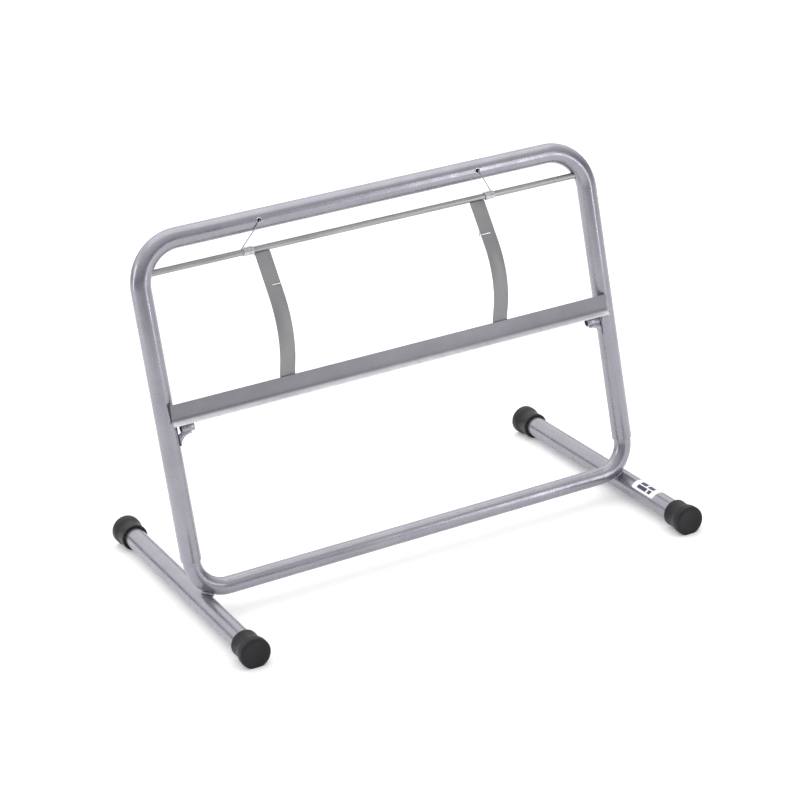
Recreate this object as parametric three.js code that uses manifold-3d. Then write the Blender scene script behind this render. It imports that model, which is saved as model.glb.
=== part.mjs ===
// Paper-roll stand: a bent steel-tube frame leaning back on two foot tubes, with a sprung press bar
// that swings on a rod under the top tube. Millimetres, +Z up, front towards -Y.
// The origin is on the floor, under the middle of the stand.
import * as THREE from "three";
import { mergeVertices } from "three/addons/utils/BufferGeometryUtils.js";
import Module from "manifold-3d";

const wasm = await Module();
wasm.setup();

// ---------------------------------------------------------------- driving dimensions
const LEAN = THREE.MathUtils.degToRad(10); // frame leans back from vertical
const FIT_GAP = 0.3; // space kept between pieces that touch or are welded

const UPRIGHT_SPACING = 616; // between the upright axes
const FRAME_HEIGHT = 433; // crossbar axis to top tube axis, along the slope
const FRAME_SETBACK = 52; // crossbar axis in front of the middle of the feet

const HOOP_RADIUS = 12.7;
const HOOP_WALL = 1.2;
const HOOP_BEND = 54; // centreline bend radius
const HOOP_LEG_END_GAP = 1.5; // lower ends of the hoop legs above the start of the lower bends
const CUT_OVERSHOOT = 2; // length of a cutting tool beyond the surface it cuts

const LOWER_WALL = 1.5;
const SLEEVE_CLEARANCE = 0.4; // radial, lower tube inside the hoop legs
const LOWER_BEND = 41.5;
const LOWER_ENGAGEMENT = 100; // length of lower tube inside each hoop leg

const FOOT_RADIUS = 13.7;
const FOOT_WALL = 1.5;
const FOOT_INSET = 6; // foot axis inside the upright axis
const FOOT_LENGTH = 424; // over the rubber caps

const CAP_LENGTH = 35;
const CAP_BASE = 9; // rubber beyond the tube's end
const CAP_MOUTH_WALL = 3.2;
const CAP_FLARE = 2.3; // base radius beyond mouth radius
const CAP_FLARE_START = 8; // from the cap's end to where it starts to narrow
const CAP_FLARE_LENGTH = 12;
const CAP_RIM = 2.5; // rounding of the base's edge
const CAP_FLAT_DEPTH = 2.3; // cut off the underside where the cap stands

const ROD_RADIUS = 4;
const ROD_DROP = 35.5; // rod axis below the top tube axis
const ROD_HOLE_CLEARANCE = 0.35;
const ROD_END_DEPTH = 7; // rod end past the upright's inner face

const ARM_SPACING = 297; // between the arm centre planes
const ARM_WIDTH = 20;
const ARM_THICKNESS = 2.5;
const ARM_TOP_FORWARD = 0.9; // middle of the arm's top end in front of the rod axis
const ARM_BOW = 41.8; // corner of the arm's bow in front of the frame plane
const ARM_BOW_DROP = 98.3; // corner of the bow below the rod axis
const ARM_BOW_RADIUS = 100;
const ARM_TAB_LENGTH = 12; // welded behind the bar's face
const ARM_TAB_BEND = 6;

const BAR_END_INSET = 3.5; // bar end inside the upright axis
const BAR_THICKNESS = 1.5;
const BAR_TOP_DROP = 157.5; // bar's top edge below the rod axis
const BAR_FACE_HEIGHT = 22;
const BAR_LIP_DEPTH = 8.5; // lip forward of the face, from the sheet's corner
const BAR_LIP_BEND = 7;
const BAR_LIP_TURN = THREE.MathUtils.degToRad(70);

const SOCKET_RADIUS = 5.8;
const SOCKET_BORE = 4.4;
const SOCKET_LENGTH = 16.5;
const SOCKET_SETBACK = 1; // socket's front behind the upright's front
const SOCKET_STANDOFF = 2.5; // between the upright and the socket's outer end
const SOCKET_BELOW_BAR = 33; // socket axis below the bar's top edge
const GUSSET_THICKNESS = 3;
const GUSSET_DROP = 15; // length of gusset along the upright
const GUSSET_LIP = 2; // gusset depth at its free end
const GUSSET_HOLLOW = 0.18; // curve's control point from the upright, as a share of the gusset's width
const GUSSET_REACH = 13; // gusset length across, from the socket's outer end

const WIRE_RADIUS = 0.7;
const COIL_TURNS = 8;
const COIL_PITCH = 1.62;
const COIL_CLEARANCE = 0.4; // between rod and wire
const COIL_ARM_CLEARANCE = 0.7; // between the coil's first turn and the arm's edge
const WIRE_TIP_BEND = 1.2;
const WIRE_HOOK_BEND = 1.5;
const SPRING_LEG = 48; // from the rod down the back of the arm
const SPRING_TIP = 13; // hooked across the arm's front
const HOOK_HOLE_SPACING = 300; // between the holes in the top tube
const HOOK_HOLE_RADIUS = 2.6;
const HOOK_CLEARANCE = 0.6; // between the wire's upper leg and the top tube it passes
const HOOK_REACH = 4; // wire end inside the tube wall

const LABEL_LENGTH = 50;
const LABEL_ARC = THREE.MathUtils.degToRad(78);
const LABEL_TILT = THREE.MathUtils.degToRad(16); // towards the middle of the stand
const LABEL_THICKNESS = 0.4;
const LABEL_OFFSET = 64; // label centre in front of the crossbar

const TUBE_SIDES = 24;
const BEND_STEPS = 8;
const LATHE_SIDES = 28;
const ROD_SIDES = 16;
const SOCKET_SIDES = 16;
const HOOK_HOLE_SIDES = 12;
const WIRE_SIDES = 6;
const COIL_STEPS = 11; // per turn
const CORNER_STEPS = 3;
const FLARE_STEPS = 5;
const ARC_STEPS = 8; // round the label

// ---------------------------------------------------------------- sizes that follow
const HALF_SPACING = UPRIGHT_SPACING / 2;
const LOWER_RADIUS = HOOP_RADIUS - HOOP_WALL - SLEEVE_CLEARANCE;
const HOOP_LEG_END = LOWER_BEND + HOOP_LEG_END_GAP; // above the crossbar axis, as all heights in the frame
const FOOT_X = HALF_SPACING - FOOT_INSET;
const CAP_BORE = FOOT_RADIUS + FIT_GAP;
const CAP_MOUTH = CAP_BORE + CAP_MOUTH_WALL;
const CAP_BASE_RADIUS = CAP_MOUTH + CAP_FLARE;
const FOOT_Z = CAP_BASE_RADIUS - CAP_FLAT_DEPTH;
const CROSSBAR_Z = FOOT_Z + crossbarRise();
const ROD_Z = FRAME_HEIGHT - ROD_DROP;
const BAR_TOP_Z = ROD_Z - BAR_TOP_DROP;
const COIL_RADIUS = ROD_RADIUS + COIL_CLEARANCE + WIRE_RADIUS;
const ARM_EDGE_X = (ARM_SPACING + ARM_WIDTH) / 2; // outer edge of each arm

// How far above the foot axes the crossbar lies when the lower bends just rest on the foot tubes:
// the least rise at which no point of a bend's axis is nearer to the foot axis than the two radii.
function crossbarRise() {
  const reach = LOWER_RADIUS + FOOT_RADIUS + FIT_GAP;
  const bendCentreX = HALF_SPACING - LOWER_BEND;
  const steps = 200;
  let rise = 0;
  for (let i = 0; i <= steps; i += 1) {
    const angle = (Math.PI / 2 / steps) * i;
    const across = bendCentreX + LOWER_BEND * Math.sin(angle) - FOOT_X;
    const height = LOWER_BEND * (1 - Math.cos(angle)) * Math.cos(LEAN);
    if (Math.abs(across) < reach) {
      rise = Math.max(rise, Math.sqrt(reach ** 2 - across ** 2) - height);
    }
  }
  return rise;
}

// ---------------------------------------------------------------- materials
const silver = new THREE.MeshStandardMaterial({ color: 0xa9a7b1, roughness: 0.38, metalness: 0.6 });
const rodSteel = new THREE.MeshStandardMaterial({ color: 0x96969a, roughness: 0.35, metalness: 0.8 });
const springSteel = new THREE.MeshStandardMaterial({ color: 0xc4c4c8, roughness: 0.3, metalness: 0.9 });
const rubber = new THREE.MeshStandardMaterial({ color: 0x2b2b2e, roughness: 0.75, metalness: 0 });
const paper = new THREE.MeshStandardMaterial({ color: 0xeeeef0, roughness: 0.6, metalness: 0 });

// ---------------------------------------------------------------- general helpers
function namedMesh(name, geometry, material) {
  const mesh = new THREE.Mesh(geometry, material);
  mesh.name = name;
  return mesh;
}

function toSolid(geometry) {
  const bare = geometry.clone();
  bare.deleteAttribute("normal");
  bare.deleteAttribute("uv");
  const merged = mergeVertices(bare, 1e-4);
  const vertProperties = new Float32Array(merged.attributes.position.array);
  const triVerts = new Uint32Array(merged.index.array);
  return new wasm.Manifold(new wasm.Mesh({ numProp: 3, vertProperties, triVerts }));
}

function toGeometry(solid) {
  const mesh = solid.getMesh();
  const geometry = new THREE.BufferGeometry();
  geometry.setAttribute("position", new THREE.BufferAttribute(mesh.vertProperties, 3));
  geometry.setIndex(new THREE.BufferAttribute(mesh.triVerts, 1));
  return geometry;
}

function subtract(geometry, tools) {
  let solid = toSolid(geometry);
  for (const tool of tools) {
    solid = solid.subtract(toSolid(tool));
  }
  return toGeometry(solid);
}

// Cylinder along X between two x values, around the line at (y, z).
function cylinderAlongX(radius, fromX, toX, y, z, sides) {
  const geometry = new THREE.CylinderGeometry(radius, radius, Math.abs(toX - fromX), sides);
  geometry.rotateZ(Math.PI / 2);
  geometry.translate((fromX + toX) / 2, y, z);
  return geometry;
}

function circlePoints(radius, sides) {
  const points = [];
  for (let i = 0; i < sides; i += 1) {
    const angle = (2 * Math.PI * i) / sides;
    points.push(new THREE.Vector2(radius * Math.cos(angle), radius * Math.sin(angle)));
  }
  return points;
}

function ringShape(outerRadius, innerRadius, sides) {
  const shape = new THREE.Shape(circlePoints(outerRadius, sides));
  shape.holes.push(new THREE.Path(circlePoints(innerRadius, sides)));
  return shape;
}

// A polyline with its corners rounded by a radius (one radius for all, or one per corner).
function roundCorners(points, radii, steps) {
  const rounded = [points[0]];
  for (let i = 1; i < points.length - 1; i += 1) {
    const radius = Array.isArray(radii) ? radii[i - 1] : radii;
    const towardsLast = points[i - 1].clone().sub(points[i]).normalize();
    const towardsNext = points[i + 1].clone().sub(points[i]).normalize();
    const halfAngle = Math.acos(THREE.MathUtils.clamp(towardsLast.dot(towardsNext), -1, 1)) / 2;
    const bisector = towardsLast.clone().add(towardsNext).normalize();
    const centre = points[i].clone().addScaledVector(bisector, radius / Math.sin(halfAngle));
    const tangentLength = radius / Math.tan(halfAngle);
    const start = points[i].clone().addScaledVector(towardsLast, tangentLength).sub(centre);
    const end = points[i].clone().addScaledVector(towardsNext, tangentLength).sub(centre);
    const turn = Math.PI - 2 * halfAngle;
    for (let step = 0; step <= steps; step += 1) {
      const share = (turn * step) / steps;
      const fromStart = start.clone().multiplyScalar(Math.sin(turn - share) / Math.sin(turn));
      rounded.push(fromStart.addScaledVector(end, Math.sin(share) / Math.sin(turn)).add(centre));
    }
  }
  rounded.push(points[points.length - 1]);
  return rounded;
}

// A curve that only visits its own stations, so an extrusion steps exactly from one to the next.
class StationCurve extends THREE.Curve {
  constructor(stations) {
    super();
    this.stations = stations;
  }

  getPoint(t, target = new THREE.Vector3()) {
    return target.copy(this.stations[Math.round(t * (this.stations.length - 1))]);
  }

  getPointAt(u, target) {
    return this.getPoint(u, target);
  }

  getTangent(t, target = new THREE.Vector3()) {
    const last = this.stations.length - 1;
    const index = Math.round(t * last);
    const here = this.stations[index];
    target.set(0, 0, 0);
    if (index > 0) {
      target.add(here.clone().sub(this.stations[index - 1]).normalize());
    }
    if (index < last) {
      target.add(this.stations[index + 1].clone().sub(here).normalize());
    }
    return target.normalize();
  }

  getTangentAt(u, target) {
    return this.getTangent(u, target);
  }
}

function sweep(shape, stations) {
  return new THREE.ExtrudeGeometry(shape, {
    steps: stations.length - 1,
    extrudePath: new StationCurve(stations),
    bevelEnabled: false,
  });
}

// A strip of constant thickness along a 2D centreline, as a closed outline.
function stripShape(centreline, thickness) {
  const left = [];
  const right = [];
  centreline.forEach((point, i) => {
    const before = centreline[Math.max(i - 1, 0)];
    const after = centreline[Math.min(i + 1, centreline.length - 1)];
    const inward = point.equals(before) ? after.clone().sub(point) : point.clone().sub(before);
    const outward = point.equals(after) ? inward.clone() : after.clone().sub(point);
    const direction = inward.normalize().add(outward.normalize()).normalize();
    const reach = thickness / 2 / direction.dot(inward);
    const normal = new THREE.Vector2(-direction.y, direction.x);
    left.push(point.clone().addScaledVector(normal, reach));
    right.push(point.clone().addScaledVector(normal, -reach));
  });
  return new THREE.Shape([...left, ...right.reverse()]);
}

// Extrudes a (forward, height) outline along X. Forward is towards the front, which is -Y.
function extrudeAcross(shape, width, centreX) {
  const geometry = new THREE.ExtrudeGeometry(shape, { depth: width, bevelEnabled: false });
  const toFrame = new THREE.Matrix4().makeBasis(
    new THREE.Vector3(0, -1, 0),
    new THREE.Vector3(0, 0, 1),
    new THREE.Vector3(-1, 0, 0),
  );
  geometry.applyMatrix4(toFrame);
  geometry.translate(centreX + width / 2, 0, 0);
  return geometry;
}

// ---------------------------------------------------------------- tube frame
// A U of tube in the frame plane: leg, bend, straight, bend, leg.
function uTube(outerRadius, wall, legZ, straightZ, bendRadius) {
  const corners = [
    new THREE.Vector3(-HALF_SPACING, 0, legZ),
    new THREE.Vector3(-HALF_SPACING, 0, straightZ),
    new THREE.Vector3(HALF_SPACING, 0, straightZ),
    new THREE.Vector3(HALF_SPACING, 0, legZ),
  ];
  const stations = roundCorners(corners, bendRadius, BEND_STEPS);
  return sweep(ringShape(outerRadius, outerRadius - wall, TUBE_SIDES), stations);
}

function hoopGeometry() {
  const tube = uTube(HOOP_RADIUS, HOOP_WALL, HOOP_LEG_END, FRAME_HEIGHT, HOOP_BEND);
  const cuts = [];
  for (const side of [-1, 1]) {
    const cutStart = side * (rodWallX() - HOOP_RADIUS);
    const holeRadius = ROD_RADIUS + ROD_HOLE_CLEARANCE;
    cuts.push(cylinderAlongX(holeRadius, cutStart, side * HALF_SPACING, 0, ROD_Z, ROD_SIDES));
    const hookCut = HOOP_RADIUS + CUT_OVERSHOOT;
    const hookHole = new THREE.CylinderGeometry(HOOK_HOLE_RADIUS, HOOK_HOLE_RADIUS, hookCut, HOOK_HOLE_SIDES);
    hookHole.translate((side * HOOK_HOLE_SPACING) / 2, -hookCut / 2, FRAME_HEIGHT);
    cuts.push(hookHole);
  }
  return subtract(tube, cuts);
}

// Where the rod meets the inner face of the hoop, which is in the bend if the rod is high enough.
function rodWallX() {
  const above = Math.max(0, ROD_Z - (FRAME_HEIGHT - HOOP_BEND));
  const innerRadius = HOOP_BEND - HOOP_RADIUS;
  const inBend = Math.sqrt(Math.max(0, innerRadius ** 2 - above ** 2));
  return HALF_SPACING - HOOP_BEND + inBend;
}

function lowerTubeGeometry() {
  return uTube(LOWER_RADIUS, LOWER_WALL, LOWER_BEND + LOWER_ENGAGEMENT, 0, LOWER_BEND);
}

// ---------------------------------------------------------------- feet
function footTubeGeometry(x) {
  const halfLength = FOOT_LENGTH / 2 - CAP_BASE - FIT_GAP;
  const ends = [new THREE.Vector3(x, -halfLength, 0), new THREE.Vector3(x, halfLength, 0)];
  const tube = sweep(ringShape(FOOT_RADIUS, FOOT_RADIUS - FOOT_WALL, TUBE_SIDES), ends);
  tube.translate(0, 0, FOOT_Z);
  return tube;
}

// A flared rubber ferrule around the foot's end, cut flat where it stands on the floor.
function capGeometry(x, end) {
  const profile = [
    new THREE.Vector2(0, 0),
    new THREE.Vector2(CAP_BASE_RADIUS - CAP_RIM, 0),
    new THREE.Vector2(CAP_BASE_RADIUS - CAP_RIM * (1 - Math.SQRT1_2), CAP_RIM * (1 - Math.SQRT1_2)),
    new THREE.Vector2(CAP_BASE_RADIUS, CAP_RIM),
  ];
  for (let i = 0; i <= FLARE_STEPS; i += 1) {
    const share = i / FLARE_STEPS;
    const ease = 0.5 + 0.5 * Math.cos(Math.PI * share);
    const depth = CAP_FLARE_START + CAP_FLARE_LENGTH * share;
    profile.push(new THREE.Vector2(CAP_MOUTH + CAP_FLARE * ease, depth));
  }
  profile.push(new THREE.Vector2(CAP_MOUTH, CAP_LENGTH));
  profile.push(new THREE.Vector2(CAP_BORE, CAP_LENGTH));
  profile.push(new THREE.Vector2(CAP_BORE, CAP_BASE));
  profile.push(new THREE.Vector2(0, CAP_BASE));
  const cap = new THREE.LatheGeometry(profile, LATHE_SIDES);
  cap.rotateZ(end > 0 ? Math.PI : 0);
  cap.translate(x, (end * FOOT_LENGTH) / 2, FOOT_Z);
  const floorBlock = new THREE.BoxGeometry(4 * CAP_BASE_RADIUS, 3 * CAP_LENGTH, 2 * CAP_BASE_RADIUS);
  floorBlock.translate(x, (end * FOOT_LENGTH) / 2, -CAP_BASE_RADIUS);
  return subtract(cap, [floorBlock]);
}

function labelGeometry(x) {
  const inner = FOOT_RADIUS + FIT_GAP;
  const start = Math.PI / 2 + LABEL_TILT - LABEL_ARC / 2;
  const inside = [];
  const outside = [];
  for (let i = 0; i <= ARC_STEPS; i += 1) {
    const angle = start + (LABEL_ARC * i) / ARC_STEPS;
    const direction = new THREE.Vector2(Math.cos(angle), Math.sin(angle));
    inside.push(direction.clone().multiplyScalar(inner));
    outside.push(direction.clone().multiplyScalar(inner + LABEL_THICKNESS));
  }
  const outline = new THREE.Shape([...inside, ...outside.reverse()]);
  const label = new THREE.ExtrudeGeometry(outline, { depth: LABEL_LENGTH, bevelEnabled: false });
  label.rotateX(Math.PI / 2);
  label.translate(x, LABEL_LENGTH / 2 - FRAME_SETBACK - LABEL_OFFSET, FOOT_Z);
  return label;
}

// ---------------------------------------------------------------- press bar, arms and rod
function rodGeometry() {
  const halfLength = HALF_SPACING - HOOP_RADIUS + ROD_END_DEPTH;
  return cylinderAlongX(ROD_RADIUS, -halfLength, halfLength, 0, ROD_Z, ROD_SIDES);
}

// The bar's face stands upright in the leaning frame, and the back of its bend rests on the uprights.
const FACE_SLOPE = Math.tan(LEAN);
const FACE_BOTTOM_Z = BAR_TOP_Z - BAR_FACE_HEIGHT;
const BEND_START_Z = FACE_BOTTOM_Z + BAR_LIP_BEND * Math.tan(BAR_LIP_TURN / 2) * Math.cos(LEAN);
const BEND_BULGE = (BAR_LIP_BEND + BAR_THICKNESS / 2) * (1 - Math.cos(LEAN)); // behind the bend's start
const BEND_START_FORWARD = HOOP_RADIUS + FIT_GAP + BEND_BULGE;

// Forward position of a line parallel to the bar's face, a distance in front of its back.
function faceForward(z, inFront) {
  return BEND_START_FORWARD + (z - BEND_START_Z) * FACE_SLOPE + inFront / Math.cos(LEAN);
}

function barGeometry() {
  const inFront = BAR_THICKNESS / 2;
  const top = new THREE.Vector2(faceForward(BAR_TOP_Z, inFront), BAR_TOP_Z);
  const corner = new THREE.Vector2(faceForward(FACE_BOTTOM_Z, inFront), FACE_BOTTOM_Z);
  const down = corner.clone().sub(top).normalize();
  const lipDirection = down.rotateAround(new THREE.Vector2(), BAR_LIP_TURN);
  const lipEnd = corner.clone().addScaledVector(lipDirection, BAR_LIP_DEPTH);
  const centreline = roundCorners([top, corner, lipEnd], BAR_LIP_BEND, BEND_STEPS);
  return extrudeAcross(stripShape(centreline, BAR_THICKNESS), UPRIGHT_SPACING - 2 * BAR_END_INSET, 0);
}

const ARM_TOP = new THREE.Vector2(ARM_TOP_FORWARD, ROD_Z - ROD_RADIUS - FIT_GAP);
const ARM_CORNER = new THREE.Vector2(ARM_BOW, ROD_Z - ARM_BOW_DROP);
const ARM_DOWN = ARM_CORNER.clone().sub(ARM_TOP).normalize(); // along the arm's upper straight

// Each arm leaves the rod's underside, bows forwards and ends in a tab behind the bar's face.
function armGeometry(x) {
  const behind = -(FIT_GAP + ARM_THICKNESS / 2);
  const tabTopZ = BAR_TOP_Z + ARM_THICKNESS;
  const tabEndZ = BAR_TOP_Z - ARM_TAB_LENGTH;
  const tabTop = new THREE.Vector2(faceForward(tabTopZ, behind), tabTopZ);
  const tabEnd = new THREE.Vector2(faceForward(tabEndZ, behind), tabEndZ);
  const corners = [ARM_TOP, ARM_CORNER, tabTop, tabEnd];
  const centreline = roundCorners(corners, [ARM_BOW_RADIUS, ARM_TAB_BEND], BEND_STEPS);
  return extrudeAcross(stripShape(centreline, ARM_THICKNESS), ARM_WIDTH, x);
}

// ---------------------------------------------------------------- springs
// Places a point given along X, forwards of the frame plane and above the crossbar axis.
function framePoint(x, forward, z) {
  return new THREE.Vector3(x, -forward, z);
}

// A torsion spring outboard of an arm: a leg behind the arm with its tip hooked over the arm's
// front, a coil around the rod, and a leg up to a hole in the front of the top tube.
function springGeometry(side) {
  const armAngle = Math.atan2(ARM_DOWN.x, -ARM_DOWN.y);
  const hookOffset = HOOP_RADIUS + HOOK_CLEARANCE + WIRE_RADIUS; // upper leg to the top tube's axis
  const hookAngle = Math.asin((hookOffset + COIL_RADIUS) / ROD_DROP);
  const hookForward = hookOffset / Math.cos(hookAngle);
  const coilStart = -(Math.PI / 2 + armAngle);
  const coilTurn = 2 * Math.PI * COIL_TURNS + armAngle + hookAngle;
  const coilInnerX = ARM_EDGE_X + COIL_ARM_CLEARANCE + WIRE_RADIUS;
  const coilSteps = Math.round((COIL_STEPS * coilTurn) / (2 * Math.PI));

  const coil = [];
  for (let i = 0; i <= coilSteps; i += 1) {
    const turned = (coilTurn * i) / coilSteps;
    const angle = coilStart + turned;
    const x = side * (coilInnerX + (COIL_PITCH * turned) / (2 * Math.PI));
    coil.push(framePoint(x, COIL_RADIUS * Math.sin(angle), ROD_Z + COIL_RADIUS * Math.cos(angle)));
  }

  const down = framePoint(0, ARM_DOWN.x, ARM_DOWN.y);
  const front = framePoint(0, -ARM_DOWN.y, ARM_DOWN.x);
  const armInnerX = side * (ARM_EDGE_X - ARM_WIDTH - FIT_GAP - WIRE_RADIUS);
  const legEnd = coil[0].clone().addScaledVector(down, SPRING_LEG).setX(armInnerX);
  const armFront = new THREE.Vector2(-ARM_DOWN.y, ARM_DOWN.x);
  const armAhead = ARM_TOP.clone().sub(new THREE.Vector2(0, ROD_Z)).dot(armFront);
  const clearOfArm = armAhead + ARM_THICKNESS / 2 + FIT_GAP + WIRE_RADIUS + COIL_RADIUS;
  const frontCorner = legEnd.clone().addScaledVector(front, clearOfArm);
  const tip = frontCorner.clone().setX(armInnerX + side * SPRING_TIP);
  const lowerLeg = roundCorners([tip, frontCorner, legEnd, coil[0]], WIRE_TIP_BEND, CORNER_STEPS);

  const hookX = (side * HOOK_HOLE_SPACING) / 2;
  const hookCorner = framePoint(hookX, hookForward, FRAME_HEIGHT);
  const hookEnd = framePoint(hookX, HOOP_RADIUS - HOOK_REACH, FRAME_HEIGHT);
  const upperLeg = roundCorners([coil[coil.length - 1], hookCorner, hookEnd], WIRE_HOOK_BEND, CORNER_STEPS);

  const wire = [...lowerLeg.slice(0, -1), ...coil, ...upperLeg.slice(1)];
  return sweep(new THREE.Shape(circlePoints(WIRE_RADIUS, WIRE_SIDES)), wire);
}

// ---------------------------------------------------------------- sockets on the uprights
const SOCKET_Z = BAR_TOP_Z - SOCKET_BELOW_BAR;
const SOCKET_FORWARD = HOOP_RADIUS - SOCKET_SETBACK - SOCKET_RADIUS;
const SOCKET_OUTER_X = HALF_SPACING - HOOP_RADIUS - SOCKET_STANDOFF;

// A short open tube lying across the stand, just inside each upright.
function socketGeometry(side) {
  const outerX = side * SOCKET_OUTER_X;
  const innerX = side * (SOCKET_OUTER_X - SOCKET_LENGTH);
  const body = cylinderAlongX(SOCKET_RADIUS, innerX, outerX, -SOCKET_FORWARD, SOCKET_Z, SOCKET_SIDES);
  const boreStart = innerX - side * CUT_OVERSHOOT;
  const boreEnd = outerX + side * CUT_OVERSHOOT;
  const bore = cylinderAlongX(SOCKET_BORE, boreStart, boreEnd, -SOCKET_FORWARD, SOCKET_Z, SOCKET_SIDES);
  return subtract(body, [bore]);
}

// A plate with a hollow curved edge that carries the socket from the upright.
function gussetGeometry(side) {
  const backForward = SOCKET_FORWARD - GUSSET_THICKNESS / 2;
  const uprightHalfChord = Math.sqrt(HOOP_RADIUS ** 2 - backForward ** 2);
  const outerX = HALF_SPACING - uprightHalfChord - FIT_GAP;
  const innerX = SOCKET_OUTER_X - GUSSET_REACH;
  const topZ = SOCKET_Z - SOCKET_RADIUS - FIT_GAP;
  const width = outerX - innerX;
  const shape = new THREE.Shape();
  shape.moveTo(outerX, topZ);
  shape.lineTo(innerX, topZ);
  shape.lineTo(innerX, topZ - GUSSET_LIP);
  shape.quadraticCurveTo(outerX - GUSSET_HOLLOW * width, topZ - GUSSET_LIP, outerX, topZ - GUSSET_DROP);
  shape.closePath();
  const plate = new THREE.ExtrudeGeometry(shape, {
    depth: GUSSET_THICKNESS,
    curveSegments: BEND_STEPS,
    bevelEnabled: false,
  });
  plate.rotateX(Math.PI / 2);
  plate.translate(0, -backForward, 0);
  return side > 0 ? plate : mirrorAcrossX(plate);
}

function mirrorAcrossX(geometry) {
  const mirrored = mergeVertices(geometry.clone().deleteAttribute("normal").deleteAttribute("uv"), 1e-4);
  mirrored.scale(-1, 1, 1);
  const index = mirrored.index.array;
  for (let i = 0; i < index.length; i += 3) {
    [index[i], index[i + 1]] = [index[i + 1], index[i]];
  }
  return mirrored;
}

// ---------------------------------------------------------------- assembly
const stand = new THREE.Group();
const frame = new THREE.Group();
frame.position.set(0, -FRAME_SETBACK, CROSSBAR_Z);
frame.rotation.x = -LEAN;
stand.add(frame);

frame.add(namedMesh("upper_hoop", hoopGeometry(), silver));
frame.add(namedMesh("lower_u_tube", lowerTubeGeometry(), silver));
frame.add(namedMesh("pivot_rod", rodGeometry(), rodSteel));
frame.add(namedMesh("press_bar", barGeometry(), silver));

for (const [side, sideName] of [[-1, "left"], [1, "right"]]) {
  frame.add(namedMesh(`bar_arm_${sideName}`, armGeometry((side * ARM_SPACING) / 2), silver));
  frame.add(namedMesh(`return_spring_${sideName}`, springGeometry(side), springSteel));
  frame.add(namedMesh(`axle_socket_${sideName}`, socketGeometry(side), silver));
  frame.add(namedMesh(`socket_gusset_${sideName}`, gussetGeometry(side), silver));

  stand.add(namedMesh(`foot_tube_${sideName}`, footTubeGeometry(side * FOOT_X), silver));
  stand.add(namedMesh(`foot_cap_front_${sideName}`, capGeometry(side * FOOT_X, -1), rubber));
  stand.add(namedMesh(`foot_cap_rear_${sideName}`, capGeometry(side * FOOT_X, 1), rubber));
}

stand.add(namedMesh("blank_label", labelGeometry(FOOT_X), paper));

export default stand;
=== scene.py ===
# Looks of the paper-roll stand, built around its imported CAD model.
# Lengths are in millimetres unless a comment says otherwise; meshes are made in metres.
import math

import bmesh
import bpy
import numpy as np
from mathutils import Matrix, Vector


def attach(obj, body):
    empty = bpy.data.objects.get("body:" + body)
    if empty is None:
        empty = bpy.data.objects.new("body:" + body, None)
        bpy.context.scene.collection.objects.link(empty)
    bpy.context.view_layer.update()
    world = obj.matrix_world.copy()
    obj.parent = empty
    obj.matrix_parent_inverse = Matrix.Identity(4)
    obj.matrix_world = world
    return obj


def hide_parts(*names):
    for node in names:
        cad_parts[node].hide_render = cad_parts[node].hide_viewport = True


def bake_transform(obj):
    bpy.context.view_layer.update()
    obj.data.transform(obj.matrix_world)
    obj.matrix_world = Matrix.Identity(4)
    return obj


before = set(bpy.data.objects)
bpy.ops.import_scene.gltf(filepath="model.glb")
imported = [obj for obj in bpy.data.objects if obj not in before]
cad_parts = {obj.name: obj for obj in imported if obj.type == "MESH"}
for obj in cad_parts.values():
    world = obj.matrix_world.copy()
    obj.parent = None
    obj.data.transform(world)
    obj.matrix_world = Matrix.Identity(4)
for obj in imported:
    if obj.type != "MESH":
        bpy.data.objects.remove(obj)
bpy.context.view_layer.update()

MM = 0.001  # metres

# ---- dimensions of the stand, mm
LEAN = math.radians(10)
HALF_SPACING = 308.0
FRAME_HEIGHT = 433.0
FRAME_SETBACK = 52.0
CROSSBAR_Z = 32.147

HOOP_RADIUS = 12.7
HOOP_WALL = 1.2
HOOP_BEND = 54.0
HOOP_LEG_END = 43.0
TUBE_RIM = 0.5  # easing of a cut tube end
RIM_SHOULDER = 0.3  # share of the easing at its middle ring
LOWER_RADIUS = 11.1
LOWER_WALL = 1.5
LOWER_BEND = 41.5
LOWER_ENGAGEMENT = 100.0

FOOT_X = 302.0
FOOT_Z = 17.2
FOOT_RADIUS = 13.7
FOOT_WALL = 1.5
FOOT_LENGTH = 424.0
CAP_LENGTH = 35.0
CAP_BASE = 9.0  # thickness of the closed end
CAP_BORE_RADIUS = 14.0
CAP_MOUTH_RADIUS = 17.2
CAP_BASE_RADIUS = 19.5
CAP_FLARE_START = 8.0
CAP_FLARE_LENGTH = 12.0
CAP_RIM = 2.5  # rounding of the base's edge
CAP_BEAD = 0.25
CAP_BEAD_LENGTH = 4.0
CAP_BEAD_SLOPE = 0.6
CAP_MOUTH_EDGE = (0.5, 0.9)  # across and along
CAP_BORE_EDGE = 0.6
CAP_DISH_RADIUS = 12.6
CAP_DISH_EDGE = 0.6
CAP_DISH_DEPTH = 0.35

ROD_RADIUS = 4.0
ROD_Z = 397.5
ROD_HALF_LENGTH = 302.3
ROD_HOLE_RADIUS = 4.35
ROD_CHAMFER = (0.4, 0.8)  # share of the radius, and length
ROD_PLAIN_HALF = 290.0

ARM_X = 148.5
ARM_WIDTH = 20.0
ARM_THICKNESS = 2.5
ARM_TOP = (0.9, 393.2)  # forward, height
ARM_CORNER = (41.8, 299.2)
ARM_BOW_RADIUS = 100.0
ARM_TAB_LENGTH = 12.0
ARM_TAB_BEND = 6.0
ARM_EDGE = 0.4

BAR_LENGTH = 609.0
BAR_THICKNESS = 1.5
BAR_TOP_Z = 240.0
BAR_FACE_HEIGHT = 22.0
BAR_LIP_DEPTH = 8.5
BAR_LIP_BEND = 7.0
BAR_LIP_TURN = math.radians(70)
BAR_EDGE = 0.35
LIP_FADE = (0.6, 3.5)  # forwards of the bar's face, where the painted highlight on its lip begins and is full

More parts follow.
